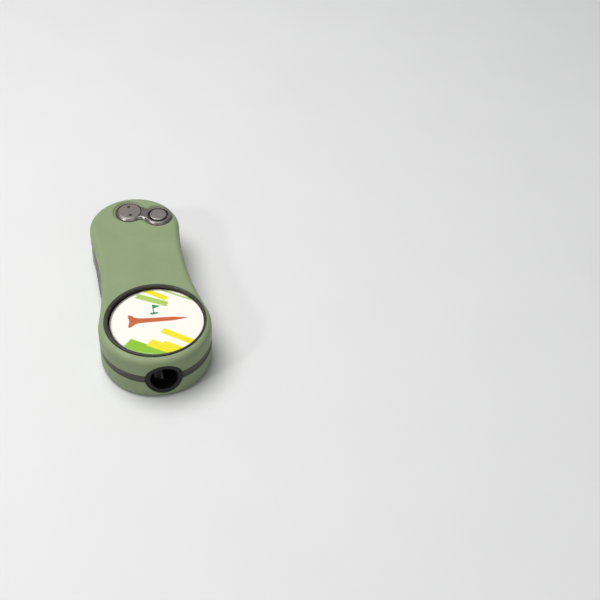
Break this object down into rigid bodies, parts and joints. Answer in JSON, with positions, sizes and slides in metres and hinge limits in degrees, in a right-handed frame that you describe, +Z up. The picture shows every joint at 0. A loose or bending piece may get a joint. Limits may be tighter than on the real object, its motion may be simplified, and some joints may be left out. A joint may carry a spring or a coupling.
{
  "type": "divot repair tool",
  "caption": "Pocket divot repair tool with a flip-out fork, a release button, a recessed magnetic ball marker and a pencil sharpener in its wide end.",
  "frame": {"origin": "centre of the footprint of the whole tool, on the surface that its back lies on", "axes": "+Z up through the marker's face, +Y from the wide marker end to the narrow pivot end, +X to the button's side"},
  "size_m": [0.031, 0.0706, 0.0144],
  "materials": {
    "soft_touch_green": "soft-touch sage green",
    "black_plastic": "fine satin texture",
    "gunmetal": "satin, polished bevels",
    "fork_metal": "brushed",
    "steel": "ground",
    "blade_steel": "ground and honed",
    "spring_steel": "drawn wire",
    "bush_brass": "turned",
    "marker_metal": "satin nickel",
    "marker_face": "printed with a plain diagonal pattern",
    "clear_dome": "clear resin",
    "magnet_nickel": "nickel plated"
  },
  "bodies": {
    "body": {"upper_cover": "soft_touch_green", "lower_cover": "soft_touch_green", "upper_frame": "black_plastic", "lower_frame": "black_plastic", "lock_plate": "gunmetal", "pivot_screw": "gunmetal", "pivot_barrel": "gunmetal", "thrust_washer_upper": "steel", "thrust_washer_lower": "steel", "fork_spring": "spring_steel", "stop_pin": "steel", "button_spring": "spring_steel", "marker_magnet": "magnet_nickel", "magnet_keeper": "steel", "sharpener_body": "black_plastic", "sharpener_blade": "blade_steel", "blade_screw": "steel", "frame_screws": "steel"},
    "fork": {"fork": "fork_metal", "fork_bushing": "bush_brass"},
    "button": {"release_button": "gunmetal", "lock_plunger": "steel"},
    "marker": {"marker_disc": "marker_metal", "marker_print": "marker_face", "marker_dome": "clear_dome"}
  },
  "joints": [
    {"name": "fork_pivot", "type": "hinge", "parent": "body", "child": "fork", "pos_m": [-0.0006, 0.0285, 0.007], "axis": [0, 0, -1], "range_deg": [0, 180]},
    {"name": "button_press", "type": "slide", "parent": "body", "child": "button", "axis": [0, 0, -1], "range_m": [0, 0.001], "stiffness_N_per_m": 1500, "springref_m": -0.0003, "deforming": ["button_spring"]},
    {"name": "marker_lift", "type": "slide", "parent": "body", "child": "marker", "axis": [0, 0, 1], "range_m": [0, 0.02]}
  ]
}
